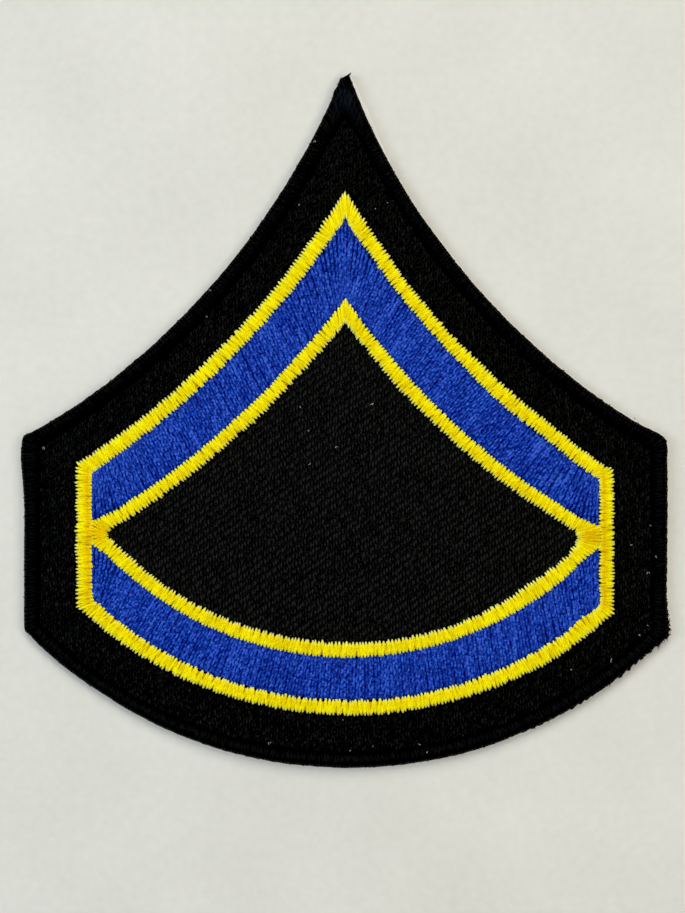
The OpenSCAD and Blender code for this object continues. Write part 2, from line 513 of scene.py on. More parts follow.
def yellow_material():
    n = Thread("yellow_satin_thread", SATIN_PLY_PITCH)
    dark, light = rgb(0.7, 0.55, 0.0006), rgb(0.98, 0.88, 0.004)
    # The golden copy of the yellow is painted shade, used where the look's painted light is full
    painted_shade_dark, painted_shade_light = rgb(0.62, 0.37, 0.0004), rgb(0.84, 0.54, 0.0008)
    painted_tip_highlight, painted_tip_glint = rgb(0.98, 0.94, 0.06), rgb(0.98, 0.97, 0.5)
    patchy = n.noise(n.object_place(), 420.0)
    # ply paints a little shade into the grooves between the plies
    shade = n.total((n.tone, 0.5), (patchy, 0.25), (n.filaments, 0.3), (n.ply, 0.08))
    bright = n.blend(n.ramp(shade, 0.2, 0.85), dark, light)
    painted_light_look = n.blend(n.ramp(shade, 0.2, 0.85), painted_shade_dark, painted_shade_light)
    body = n.blend(n.ramp(n.gold, 0.05, 1.0), bright, painted_light_look)
    # Painted highlight at the ends of each stitch: lemon, then near-white at the very tips
    end = n.blend(n.tip, body, painted_tip_highlight)
    n.set(Base_Color=n.blend(n.ramp(n.tip, 0.6, 1.0, 0.0, 0.8), end, painted_tip_glint))
    n.gloss(0.34, 0.5, 0.38, rgb(1.0, 0.95, 0.2))
    n.relief(0.6, 0.6, 0.8)
    return n.material


def blue_material():
    n = Thread("blue_fill_thread", FILL_PLY_PITCH)
    dark, middle, light = rgb(0.0003, 0.004, 0.15), rgb(0.006, 0.056, 0.49), rgb(0.056, 0.12, 0.58)
    # The hole colour is painted shade, at the needle holes and over the pad between the rows
    hole = rgb(0.0003, 0.008, 0.12)
    patchy = n.noise(n.object_place(), 300.0)
    # Painted highlights in dashes, as on twisted plies, shifted by tone so that they differ from thread to
    # thread
    pattern = n.add("CombineXYZ", i0=n.math("MULTIPLY", n.along, 3.4), i1=n.math("MULTIPLY", n.around, 4.0),
                    i2=n.math("MULTIPLY", n.tone, 40.0))
    painted_highlight_dashes = n.ramp(n.noise(pattern, 1.0, 1.0), 0.34, 0.66, -1.0, 1.0)
    # Painted highlight along the top of each thread, and painted shade under it
    painted_crown_light = n.math("SINE", n.math("MULTIPLY", n.around, 2 * math.pi))
    # ply paints shade into the grooves between the plies
    shade = n.total((n.tone, 0.26), (patchy, 0.12), (n.filaments, 0.35), (n.ply, 0.14), (painted_highlight_dashes, 0.38),
                    (painted_crown_light, 0.16))
    body = n.blend(n.ramp(shade, 0.14, 0.79), dark, middle)
    # The light colour is a painted highlight on the brightest places
    body = n.blend(n.ramp(shade, 0.64, 1.09), body, light)
    n.set(Base_Color=n.blend(n.tip, body, hole))
    n.gloss(0.42, 0.55, 0.28, rgb(0.55, 0.68, 1.0))
    n.relief(0.22, 0.4, 0.7)
    return n.material


def black_material():
    """Black edge thread. Its second look is a painted bluish sheen in small scales, in place of the painted
    golden shade of yellow thread.
    """
    n = Thread("black_edge_thread", SATIN_PLY_PITCH)
    shade = n.total((n.tone, 0.6), (n.filaments, 0.4))
    body = n.blend(shade, rgb(0.0008, 0.0008, 0.0009), rgb(0.0042, 0.0042, 0.0043))
    # Painted sheen: scaly bluish highlights where the look's painted light is full
    sheen_scales = n.total((n.noise(n.scaled(n.object_place(), 1.0, 0.4), 3600.0), 1.0), (n.tone, 0.25))
    painted_sheen = n.blend(n.ramp(sheen_scales, 0.56, 0.82), rgb(0.0004, 0.0006, 0.0011), rgb(0.0075, 0.0092, 0.0138))
    n.set(Base_Color=n.blend(n.gold, body, painted_sheen))
    n.gloss(0.4, 0.55, 0.068, rgb(0.95, 0.96, 0.98))
    n.relief(0.5, 0.4)
    return n.material


def twill_material():
    """Black spun yarn: matt, slightly fuzzy, with lighter flecks that are painted glints. Its second look is
    a painted sheen on the inner field.
    """
    n = Nodes("black_twill")
    coords = n.object_place()
    tone, painted_field_sheen, _ = n.looks()
    # The flecks are painted glints, where fibres catch the light; they also vary roughness and bumps
    glint_flecks = n.noise(coords, 3600.0, 3.0)
    # Painted sheen lightens the inner black field
    lit = n.total((tone, 0.25), (glint_flecks, 1.2), (painted_field_sheen, 0.18))
    body = n.blend(n.ramp(lit, 0.62, 1.05), rgb(0.0008, 0.0008, 0.0008), rgb(0.0156, 0.0156, 0.016))
    n.set(Base_Color=body, Roughness=n.ramp(glint_flecks, 0.3, 0.7, 0.55, 0.8), Specular_IOR_Level=0.1)
    n.set(Normal=n.bump(0.5, 0.00003, glint_flecks))
    return n.material


def film_material():
    """Heat-seal film: slightly cloudy, with a soft sheen."""
    n = Nodes("heat_seal_film")
    coords = n.object_place()
    cloud = n.noise(coords, 260.0, 4.0)
    grain = n.noise(coords, 3200.0, 2.0)
    n.set(Base_Color=n.blend(n.ramp(cloud, 0.35, 0.65), rgb(0.78, 0.78, 0.75), rgb(0.9, 0.9, 0.88)))
    n.set(Roughness=n.ramp(cloud, 0.35, 0.65, 0.32, 0.5))
    n.set(Normal=n.bump(0.25, 0.00005, n.math("ADD", grain, cloud)))
    return n.material


def lint_material():
    n = Nodes("white_lint")
    cloud = n.noise(n.object_place(), 2000.0, 2.0)
    n.set(Base_Color=n.blend(cloud, rgb(0.2, 0.2, 0.19), rgb(0.6, 0.6, 0.58)), Roughness=0.8)
    return n.material


def floor_material():
    n = Nodes("pale_floor")
    coords = n.object_place()
    cloud = n.noise(coords, 55.0, 4.0)
    grain = n.noise(coords, 900.0, 3.0)
    mottle = n.ramp(n.total((cloud, 0.6), (grain, 0.4)), 0.3, 0.7)
    n.set(Base_Color=n.blend(mottle, rgb(0.643, 0.635, 0.594), rgb(0.727, 0.718, 0.676)))
    n.set(Roughness=0.85, Specular_IOR_Level=0.1, Normal=n.bump(0.1, 0.0001, grain))
    return n.material


yellow = yellow_material()
blue = blue_material()
black = black_material()
twill = twill_material()
film = film_material()
lint = lint_material()

# Sides of a thread, most of them on its upper half, where they show
SATIN_AROUND = np.radians([-25, 25, 60, 90, 120, 155, 205])
FILL_AROUND = np.radians([-25, 18, 55, 90, 125, 162, 205])
ROUND_4 = np.radians([0, 90, 180, 270])
ROUND_6 = np.radians(np.arange(0, 360, 60))

# Satin stitches, in millimetres
SATIN_W = 0.345
SATIN_T = 0.25
SATIN_STATIONS = 11
SATIN_FULLNESS = 4.2  # of the arch: the larger, the squarer
SATIN_PLY = 0.06  # how far the plies bulge, as a share of the size
SATIN_UNEVEN = 0.045  # how far stitches lie under the crest, as a standard deviation
SATIN_PAD_MARGIN = 0.32  # from the needle holes to the pad
SATIN_PAD_DEPTH = 0.24  # from the crest down to the pad
TOOTH = 0.41  # distance between needle holes on one side of a band
OVERHANG = 0.09  # how far needle holes lie outside the plan's edge, as the thread narrows there
HOLE_DEPTH = 0.1  # of a needle hole, under the cloth's top
HOLE_SIZE = 0.52  # of a thread in its needle hole, as a share of its full size


def arch(t, fullness):
    """Height of a stitch along its way, from 0 in one needle hole over 1 to 0 in the next."""
    return (1 - np.abs(2 * t - 1) ** fullness) ** 0.8


def band_needles(stretches, closed):
    """Needle holes of a band on its outer and its inner rail, with its painted golden shade and how uneven it
    is there.
    """
    rows = []
    for part in stretches:
        rungs = part_rungs(part.outer, part.inner, part.fan_start, part.fan_end)
        outer, inner = spread(part.outer, part.inner, rungs, TOOTH)
        traits = np.tile([part.gold, part.rough_outer, part.rough_inner], (len(outer), 1))
        rows.append(np.hstack([outer, inner, traits]))
    if not closed:
        rows.append(np.hstack([part.outer[-1:], part.inner[-1:], traits[-1:]]))
    rows = np.concatenate(rows)
    return rows[:, :2], rows[:, 2:4], rows[:, 4], rows[:, 5:]


def satin_band(name, material, node, slot, stretches, closed, crest, seed, rim_drop=0.0, slope=0.0,
               painted_light_spots=(), reach=1.4):
    """A satin band from its stretches: a zigzag of arched stitches over a pad.

    rim_drop puts its outer needle holes lower, and slope lowers its inner half. Within reach of the points
    given for painted light, this is full: painted golden shade on yellow thread, painted sheen on black
    thread, and no painted highlight at the tips."""
    rng = np.random.default_rng(seed)
    outer, inner, gold, rough = band_needles(stretches, closed)
    threads = Threads()
    # The pad gets full painted golden shade if the band has any
    threads.add_pad(outer, inner, SATIN_PAD_MARGIN, 0.45, crest - SATIN_PAD_DEPTH - 0.6 * slope,
                    (0.2, float(gold.any()), 0.0), closed)

    outer, inner = shaken(rng, outer, rough[:, 0]), shaken(rng, inner, rough[:, 1])
    starts = np.stack([outer, inner], axis=1).reshape(-1, 2)
    ends = np.stack([inner, np.roll(outer, -1, axis=0)], axis=1).reshape(-1, 2)
    gold = np.repeat(gold, 2)
    if not closed:
        starts, ends, gold = starts[:-1], ends[:-1], gold[:-1]
    count = len(starts)
    inward = np.arange(count) % 2 == 0

    t = (1 - np.cos(np.pi * np.arange(SATIN_STATIONS) / (SATIN_STATIONS - 1))) / 2
    to_hole = np.minimum(t, 1 - t)
    plan = bent_lines(rng, starts, ends, t)
    share = np.where(inward[:, None], t, 1 - t)  # of the way from the outer to the inner side
    hole = CLOTH_TOP - HOLE_DEPTH - rim_drop * (1 - share)
    tops = crest - SATIN_T / 2 - np.abs(rng.normal(0, SATIN_UNEVEN, count))
    arched = arch(t, SATIN_FULLNESS) * (1 - slope * smooth_step(0.35, 1.0, share))
    centres = raised(plan, hole + (tops[:, None] - hole) * arched)
    size = HOLE_SIZE + (1 - HOLE_SIZE) * smooth_step(0.0, 0.22, to_hole)

    tone = np.broadcast_to(rng.random(count)[:, None], share.shape)
    # Painted golden shade, strongest two thirds of the way from the outer side to the inner
    painted_light_look = gold[:, None] * np.exp(-((share - 0.66) / 0.2) ** 2)
    # The ends of each stitch, where painted highlights go
    tip = 1 - smooth_step(0.03, 0.3, to_hole)
    for spot in painted_light_spots:
        painted_light_near = near(plan, spot, reach)
        painted_light_look = np.maximum(painted_light_look, painted_light_near)
        tip = tip * (1 - painted_light_near)
    looks = np.stack([tone, painted_light_look, tip], axis=-1)
    threads.add_tubes(centres, SATIN_W * size, SATIN_T * size, SATIN_AROUND, looks,
                      ply=SATIN_PLY, ply_pitch=SATIN_PLY_PITCH, phase=rng.random(count) * WHOLE_TURN)
    threads.make(name, material, node, slot=slot)


# The middles of the places where three bands run together, where the yellow gets full painted golden shade
KNOT_MIDDLES = [from_pixel(98, 533), from_pixel(591, 536)]
FIGURE_TIP = from_pixel(345.5, 190.6)[1]  # how high the blunt point of the yellow line reaches

# Where the bands stray from their plan: pixel, and the amount outwards and its reach in millimetres
OUTLINE_OUTER_SWELLS = [
    (225, 350, 0.1, 7.0), (410, 285, -0.18, 3.5), (450, 333, -0.18, 3.5), (555, 428, 0.13, 4.0),
    (550, 660, 0.17, 3.5), (76, 538, 0.19, 13.0), (613, 545, 0.05, 12.0), (300, 251, 0.12, 3.5),
    (345, 712, -0.04, 25.0), (349, 194, -0.2, 0.5), (76, 585, -0.05, 4.0), (580, 453, -0.13, 3.0)]
OUTLINE_INNER_SWELLS = [
    (300, 275, -0.1, 3.0), (550, 441, 0.18, 4.0), (91, 560, -0.18, 14.0), (600, 538, 0.12, 12.0),
    (345, 699, 0.04, 25.0), (555, 638, -0.12, 4.0), (580, 618, -0.62, 1.3), (345, 219, 0.15, 0.6),
    (339, 232, -0.16, 1.0), (352, 232, -0.16, 1.0), (92, 590, -0.12, 5.0), (500, 402, -0.13, 3.0),
    (580, 470, -0.16, 3.0)]
CHEVRON_LINE_SWELLS = [
    (110, 520, -0.06, 3.0), (225, 440, 0.12, 6.0), (290, 365, 0.13, 4.0), (550, 505, 0.22, 4.0)]
CHEVRON_UPPER_SWELLS = CHEVRON_LINE_SWELLS + [(250, 405, 0.13, 4.0), (300, 350, 0.12, 4.0)]
CHEVRON_LOWER_SWELLS = CHEVRON_LINE_SWELLS + [(400, 389, -0.12, 4.0)]
ROCKER_UPPER_SWELLS = [(525, 587, 0.28, 4.5)]
ROCKER_LOWER_SWELLS = [(110, 561, -0.1, 3.0), (550, 588, -0.12, 3.0)]
BORDER_INNER_SWELLS = [(345, 112, -0.5, 2.5)]

# For the five edges, clockwise from the left shoulder: both fans' lengths, how much painted golden shade the
# edge has, and how uneven its needle holes are outside and inside
OUTLINE_TRAITS = [
    (2.2, 6.0, 0.25, 0.055, 0.065), (6.0, 2.2, 0.45, 0.055, 0.065), (2.2, 2.4, 1.0, 0.055, 0.055),
    (2.4, 2.4, 0.35, 0.055, 0.1), (2.4, 2.2, 1.0, 0.055, 0.055)]
BORDER_FANS = [(2.4, 9.0), (9.0, 2.4), (2.4, 2.6), (2.6, 2.6), (2.6, 2.4)]
BORDER_INSET = 0.1  # from the cut edge to the border's outer needle holes
# Round this pixel near the point, the black border gets full painted sheen
SHEEN_MIDDLE = from_pixel(342.5, 98)


def yellow_band(name, node, stretches, closed, seed):
    satin_band(name, yellow, node, "yellow_thread", stretches, closed, LINE_TOP, seed, painted_light_spots=KNOT_MIDDLES)


def outline_band():
    outer = [swollen(capped(rail, FIGURE_TIP), OUTLINE_OUTER_SWELLS) for rail in figure.edges(-OVERHANG)]
    inner = [swollen(rail, OUTLINE_INNER_SWELLS) for rail in figure.edges(OUTLINE_W + OVERHANG)]
    stretches = [Stretch(*rails, *traits) for *rails, traits in zip(outer, inner, OUTLINE_TRAITS)]
    yellow_band("outer_outline_satin", "outer_outline", stretches, True, 11)


def border_band():
    inner = [swollen(rail, BORDER_INNER_SWELLS) for rail in cut.edges(BORDER_W)]
    stretches = [Stretch(*rails, *fans, gold=0.0, rough_outer=0.02, rough_inner=0.04)
                 for *rails, fans in zip(cut_edges(BORDER_INSET), inner, BORDER_FANS)]
    satin_band("edge_border_satin", black, "edge_border", "edge_thread", stretches, True, BORDER_TOP, 12,
               rim_drop=0.3, slope=0.4, painted_light_spots=[SHEEN_MIDDLE], reach=1.45)


# Pixels where the lines under the chevron and over the rocker meet: the corners of the blue fields above and
# below, and both corners of the black field's blunt tip between them
LEFT_KNOT = [(88.6, 520.0), (88.6, 545.5), (106.0, 532.3), (106.8, 536.2)]
RIGHT_KNOT = [(603.4, 525.4), (603.0, 548.0), (576.2, 532.2), (576.6, 541.0)]
# How far from the middle the arcs of these lines' rails end, and run on straight to the knots
CHEVRON_UPPER_HALF, CHEVRON_LOWER_HALF = 27.6, 25.6
ROCKER_UPPER_HALF, ROCKER_LOWER_HALF = 26.3, 28.4


def line_bands():
    """The line under the chevron, and the line over the rocker with the fans at its ends."""
    left, left_low, left_tip, left_tip_low = [from_pixel(*pixel) for pixel in LEFT_KNOT]
    right, right_low, right_tip, right_tip_low = [from_pixel(*pixel) for pixel in RIGHT_KNOT]
    upper = arms_of(line_arms, LINE_ARM_R - OVERHANG, CHEVRON_UPPER_HALF)
    lower = arms_of(line_arms, LINE_ARM_R + CHEVRON_LINE_W + OVERHANG, CHEVRON_LOWER_HALF)
    upper = [swollen(rail, CHEVRON_UPPER_SWELLS) for rail in upper]
    lower = [swollen(rail, CHEVRON_LOWER_SWELLS) for rail in lower]
    stretches = [Stretch(rail_through(left, upper[0]), rail_through(left_tip, lower[0]), 2.2, 5.5, 0.3),
                 Stretch(rail_through(upper[1], right), rail_through(lower[1], right_tip), 5.5, 2.2, 0.45)]
    yellow_band("chevron_outline_satin", "chevron_outline", stretches, False, 13)

    low = lower_arc(rocker_centre, ROCKER_LINE["r"] + ROCKER_LINE_W + 2 * OVERHANG, ROCKER_LOWER_HALF)
    high = lower_arc(rocker_centre, ROCKER_LINE["r"] - OVERHANG, ROCKER_UPPER_HALF)
    low = rail_through(left_low, swollen(low, ROCKER_LOWER_SWELLS), right_low)
    high = rail_through(left_tip_low, swollen(high, ROCKER_UPPER_SWELLS), right_tip_low)
    # The stretches at both ends of the rocker line, at the knots, get full painted golden shade
    stretches = [Stretch(rail_through(left, left_low), rail_through(left_tip, left_tip_low), gold=1.0),
                 Stretch(low, high, 1.8, 1.8, 0.3),
                 Stretch(rail_through(right_low, right), rail_through(right_tip_low, right_tip), gold=1.0)]
    yellow_band("rocker_outline_satin", "rocker_outline", stretches, False, 14)


# Fill stitches, in millimetres
FILL_PITCH = 0.36
FILL_W = 0.42
FILL_T = 0.3
FILL_STEP = 0.19  # from one ring of a thread's tube to the next
FILL_LONGEST = 3.8
FILL_SHORTEST = 1.6
FILL_STUB = 0.6  # a last stitch shorter than this joins the one before it
FILL_ROUGH = 0.03  # how uneven the ends of the rows are, as a standard deviation
FILL_CUT_ROUGH = 0.022  # and the needle holes within a row
FILL_DIP = 0.03  # how far stitches sink at their ends, and at random as much again
FILL_UNEVEN = 0.03  # how far stitches lie under the top at most
FILL_FULLNESS = 6.0
FILL_PLY = 0.1
FILL_PAD_MARGIN = 0.4  # from the rows' ends to the pad
FILL_PAD_DEPTH = 0.19  # from the top down to the pad
FILL_SINK = 0.3  # how much lower the rows lie where the yellow line holds them down
FILL_GAP = -0.03  # from the plan's edge of the yellow line to the first needle hole


def row_needles(rng, start, end):
    """Needle holes along a row, which part it into stitches of uneven length."""
    far = math.dist(start, end)
    cuts = [0.0]
    while far - cuts[-1] > FILL_LONGEST:
        cuts.append(cuts[-1] + rng.uniform(FILL_SHORTEST, FILL_LONGEST))
    if far - cuts[-1] < FILL_STUB and len(cuts) > 1:
        cuts.pop()
    cuts.append(far)
    rough = rng.normal(0, FILL_CUT_ROUGH, (len(cuts), 2))
    return start + (end - start) * np.array(cuts)[:, None] / far + rough


def fill(name, node, outer, inner, rungs, seed):
    """Rows of blue thread from rail to rail, each row in stitches of uneven length."""
    rng = np.random.default_rng(seed)
    row_starts, row_ends = spread(outer, inner, rungs, FILL_PITCH, zigzag=False)
    threads = Threads()
    # The pad shows between the rows; its look gives it painted shade
    threads.add_pad(row_starts, row_ends, FILL_PAD_MARGIN, 0.4, FILL_TOP - FILL_PAD_DEPTH, (0.0, 0.0, 0.7))
    row_starts, row_ends = shaken(rng, row_starts, FILL_ROUGH), shaken(rng, row_ends, FILL_ROUGH)
    by_stations = {}
    for start, end in zip(row_starts, row_ends):
        points = row_needles(rng, start, end)
        for a, b in zip(points, points[1:]):
            stations = 2 * max(2, round(math.dist(a, b) / FILL_STEP / 2)) + 1
            by_stations.setdefault(stations, []).append((a, b, start, end))
    for stations, stitches in sorted(by_stations.items()):
        starts, ends, row_start, row_end = (np.array(points) for points in zip(*stitches))
        count = len(starts)
        t = np.linspace(0, 1, stations)
        plan = bent_lines(rng, starts, ends, t)
        dip = FILL_DIP + FILL_DIP * rng.random(count)
        top = FILL_TOP - FILL_T / 2 - FILL_UNEVEN * rng.random(count)
        arched = top[:, None] - dip[:, None] * (1 - arch(t, FILL_FULLNESS))
        to_edge = np.minimum(*(norm(plan - end[:, None], axis=-1) for end in (row_start, row_end)))
        centres = raised(plan, arched - FILL_SINK * (1 - smooth_step(0.05, 0.5, to_edge)))
        tone = np.broadcast_to(rng.random(count)[:, None], (count, stations))
        to_hole = np.minimum(t, 1 - t) * norm(ends - starts, axis=1)[:, None]
        # Near the needle holes the look gives painted shade
        looks = np.stack([tone, 0 * tone, 0.15 * (1 - smooth_step(0.0, 0.25, to_hole))], axis=-1)
        threads.add_tubes(centres, FILL_W, FILL_T, FILL_AROUND, looks, ply=FILL_PLY,
                          ply_pitch=FILL_PLY_PITCH, phase=rng.random(count) * WHOLE_TURN)
    threads.make(name, blue, node, slot="blue_thread")


def ray_to(rail, point, angle):
    """How far along a rail the line through a point at an angle meets it."""
    way = np.array([math.cos(math.radians(angle)), math.sin(math.radians(angle))])
    off = (rail - point) @ left_of(way)
    return distances(rail)[np.argmin(np.abs(off))]


def joined(edges):
    """Several edges as one rail."""
    return np.vstack([edges[0]] + [e[1:] for e in edges[1:]])


def angled_rungs(outer, inner, guides):
    """Rungs at given places: (pixel of the photograph that the thread passes through, its angle)."""
    rungs = [(0.0, 0.0)]
    for px, py, angle in guides:
        point = from_pixel(px, py)
        rungs.append((ray_to(outer, point, angle), ray_to(inner, point, angle)))
    return rungs + [(length(outer), length(inner))]


# Directions of the blue threads: pixel and angle from +x
CHEVRON_GUIDES = [
    (110, 484, 108), (150, 457, 118), (225, 388, 118), (290, 322, 116), (325, 280, 104), (346, 262, 88),
    (366, 280, 70), (400, 330, 55), (470, 402, 50), (540, 457, 52), (580, 484, 66)]
ROCKER_GUIDES = [
    (110, 590, 66), (150, 622, 58), (250, 665, 74), (346, 678, 87), (440, 664, 97), (560, 615, 102),
    (585, 592, 96)]


def chevron_fill():
    outer = joined(figure.edges(OUTLINE_W + FILL_GAP)[:2])
    inner = joined(arms_of(line_arms, LINE_ARM_R - FILL_GAP, INNER_HALF - FILL_GAP))
    fill("chevron_fill_threads", "chevron_fill", outer, inner, angled_rungs(outer, inner, CHEVRON_GUIDES), 21)


def rocker_fill():
    bowl = figure.edges(OUTLINE_W + FILL_GAP)[3][::-1]
    upper = lower_arc(rocker_centre, ROCKER_LINE["r"] + ROCKER_LINE_W + FILL_GAP, INNER_HALF - FILL_GAP)
    fill("rocker_fill_threads", "rocker_fill", upper, bowl, angled_rungs(upper, bowl, ROCKER_GUIDES), 22)


outline_band()
border_band()
line_bands()
chevron_fill()
rocker_fill()

# Twill: warp floats on a lattice over a plain sheet, in millimetres
YARN_STEP = np.array([0.344, 0.237])  # from one float to its neighbour on the next yarn
FLOAT_STEP = np.array([0.024, 0.935])  # from one float to the next on the same yarn
FLOAT_LENGTH = 0.8
FLOAT_W = 0.38
FLOAT_T = 0.24
YARNS, FLOATS = 130, 140  # on each side of the middle: more than the patch holds
UNDER_STITCHES = 0.25  # how far the floats reach under the stitches
UNDER_BORDER = 0.5
# Along a float: where its rings lie, how far under its crest, and their share of its full size
FLOAT_RINGS = np.array([-0.5, -0.2, 0.2, 0.5])
FLOAT_DROP = np.array([0.13, 0.0, 0.0, 0.13])
FLOAT_TAPER = np.array([0.5, 1.0, 1.0, 0.5])


def covered(points):
    """Which points of the cloth lie well under the stitches."""
    in_figure = figure.holds(points, UNDER_STITCHES)
    below_line = np.all([norm(points - c, axis=-1) > LINE_ARM_R + CHEVRON_LINE_W - UNDER_STITCHES
                         for c in line_arms], axis=0)
    above_rocker = norm(points - rocker_centre, axis=-1) < ROCKER_LINE["r"] + UNDER_STITCHES
    return in_figure & ~(below_line & above_rocker)


def twill_floats():
    rng = np.random.default_rng(31)
    i, j = np.meshgrid(np.arange(-YARNS, YARNS + 1), np.arange(-FLOATS, FLOATS + 1), indexing="ij")
    centre = np.array([0.0, MIDDLE_H]) + i[..., None] * YARN_STEP + j[..., None] * FLOAT_STEP
    centre = centre.reshape(-1, 2)
    seen = cut.holds(centre, BORDER_W - UNDER_BORDER) & ~covered(centre)
    centre = shaken(rng, centre[seen], 0.05)
    count = len(centre)
    lean = unit(FLOAT_STEP + rng.normal(0, 0.1, (count, 2)))
    plan = centre[:, None] + lean[:, None] * (FLOAT_LENGTH * FLOAT_RINGS)[:, None]
    crest = CLOTH_TOP - FLOAT_T / 2 + rng.normal(0, 0.02, count)
    tilt = rng.normal(0, 0.03, count)[:, None] * FLOAT_RINGS
    centres = raised(plan, crest[:, None] + tilt - FLOAT_DROP)
    # Where the inner black field gets painted sheen
    painted_field_sheen = figure.holds(centre, 3.0).astype(float)
    looks = np.stack([rng.random(count), painted_field_sheen, np.zeros(count)], axis=-1)[:, None]
    looks = np.broadcast_to(looks, (count, len(FLOAT_RINGS), 3))
    threads = Threads()
    threads.add_tubes(centres, FLOAT_W * FLOAT_TAPER, FLOAT_T * FLOAT_TAPER, ROUND_4, looks)
    threads.make("twill_floats", twill, slot="twill")


def smooth_noise(rng, s, total, wavelength):
    """Closed smooth noise over the distance s round a loop, with a standard deviation of about 1."""
    waves = max(4, int(total / wavelength))
    value = np.zeros_like(s)
    for k in range(1, waves + 1):
        a, b = rng.normal(0, 1, 2)
        value += a * np.cos(2 * np.pi * k * s / total) + b * np.sin(2 * np.pi * k * s / total)
    return value / math.sqrt(waves)


# The saw teeth of the cut edge, in millimetres, and round which pixel they are deepest
FRAY_STEP = 1.15
FRAY_DEPTH = 0.4
FRAY_LEAST = 0.03
FRAY_REACH = 9.0
FRAYED = (615, 672)


def cut_ring(inset, count, wobble, seed):
    """The cut edge as a closed ring of points, a little uneven, with saw teeth."""
    rng = np.random.default_rng(seed)
    ring = joined(cut_edges(inset))
    total = length(ring)
    s = total * np.arange(count) / count
    points = along(ring, s)
    out = left_of(unit(np.roll(points, -1, axis=0) - np.roll(points, 1, axis=0)))
    uneven = smooth_noise(rng, s, total, 5.0) * 0.6 + smooth_noise(rng, s, total, 0.9) * 0.5
    teeth = FRAY_DEPTH * near(points, from_pixel(*FRAYED), FRAY_REACH) + FRAY_LEAST
    jitter = smooth_noise(rng, s, total, 6.0)
    saw = (s / FRAY_STEP + 0.3 * jitter) % 1 - 0.5
    return points + out * (wobble * uneven + teeth * (0.9 + 0.35 * jitter) * saw)[:, None]


def plate(name, rings, levels, material, *nodes, slot):
    """A flat plate whose side wall runs through rings of points, from the lowest level to the highest."""
    count = len(rings[0])
    points = np.concatenate([np.column_stack([ring, np.full(count, z)]) for ring, z in zip(rings, levels)])
    k = np.arange(count)
    after = (k + 1) % count
    last = count * (len(rings) - 1)
    faces = [list(range(count)), list(range(last + count - 1, last - 1, -1))]
    for row in range(len(rings) - 1):
        low, high = row * count, (row + 1) * count
        faces += np.stack([after + low, k + low, k + high, after + high], axis=1).tolist()
    mesh = bpy.data.meshes.new(name)
    mesh.from_pydata(placed(points).tolist(), [], faces)
    mesh.validate()
    return place(bpy.data.objects.new(name, mesh), material, *nodes, slot=slot)


# The cloth's side wall from its foot up: how far inside the cut edge, and how high
WALL_INSETS, WALL_LEVELS = (0.05, 0.0, 0.03), (FILM_TOP + 0.03, 0.8, CLOTH_TOP - 0.14)
# How far all of the film is moved, and how much more round this pixel beside the point
FILM_SHIFT, FILM_BULGE = [0.1, 0], [0.36, 0.14]
BULGE_MIDDLE = (368, 112)


def cloth_and_film():
    rings = [cut_ring(inset, 1200, 0.025, 41) for inset in WALL_INSETS]
    sheet = plate("twill_sheet", rings, WALL_LEVELS, twill, "ground_cloth", slot="twill")
    ring = cut_ring(0.0, 800, 0.03, 44)
    bulge = near(ring, from_pixel(*BULGE_MIDDLE), 5.0)
    ring = ring + FILM_SHIFT + bulge[:, None] * FILM_BULGE
    plate("film_sheet", [ring, ring], (0.0, FILM_TOP), film, "backing", slot="film")


twill_floats()
cloth_and_film()

# Lint on the face: pixel of the photograph and rough size in millimetres
LINT = [
    (314, 142, 0.3), (43, 448, 0.3), (371, 405, 0.5), (300, 407, 0.25), (309, 464, 0.3), (308, 430, 0.2),
    (336, 447, 0.25), (210, 290, 0.2), (206, 316, 0.2), (269, 743, 0.3), (349, 751, 0.25), (372, 746, 0.2),
    (419, 744, 0.25), (426, 751, 0.2), (342, 719, 0.2), (631, 545, 0.2), (655, 556, 0.2), (648, 572, 0.35),
    (650, 525, 0.2), (648, 626, 0.35), (639, 635, 0.25), (612, 660, 0.4), (571, 669, 0.16), (387, 202, 0.1),
    (375, 208, 0.1), (634, 418, 0.3), (298, 204, 0.2)]
LINT_FIBRES = 2  # in each speck


def lint_specks():
    """Tiny crumpled fibres."""
    rng = np.random.default_rng(51)
    threads = Threads()
    t = np.linspace(0, 1, 9)
    for px, py, size in LINT:
        at = from_pixel(px, py)
        level = (CLOTH_TOP if cut.holds(at, BORDER_W) else BORDER_TOP) + 0.03
        phase = rng.uniform(0, WHOLE_TURN, (3, 2, LINT_FIBRES, 1))
        curl = [np.sin(phase[0, k] + 2.0 * t) * 0.8 + np.sin(phase[1, k] + 5.0 * t) * 0.25 for k in (0, 1)]
        lift = np.abs(np.sin(phase[2, 0] + 4.0 * t)) * 0.08
        centres = np.stack([at[0] + curl[0] * size / 2, at[1] + curl[1] * size / 2, level + lift], axis=-1)
        threads.add_tubes(centres, 0.06, 0.04, ROUND_4, np.zeros((LINT_FIBRES, len(t), 3)))
    threads.make("lint_specks", lint, slot="film")


lint_specks()

# Fibre ends at the cut edge, with more of them round the pixel of the frayed corner
FUZZ_COUNT = 420
FUZZ_MIDDLE = (667, 636)
# The tuft at the point: the pixels where it starts, and where its threads end
TUFT_START = (342.5, 79.0)
TUFT_ENDS = [(350.2, 72.0), (349.9, 72.7), (348.6, 73.8), (346.6, 74.6), (344.6, 75.6)]


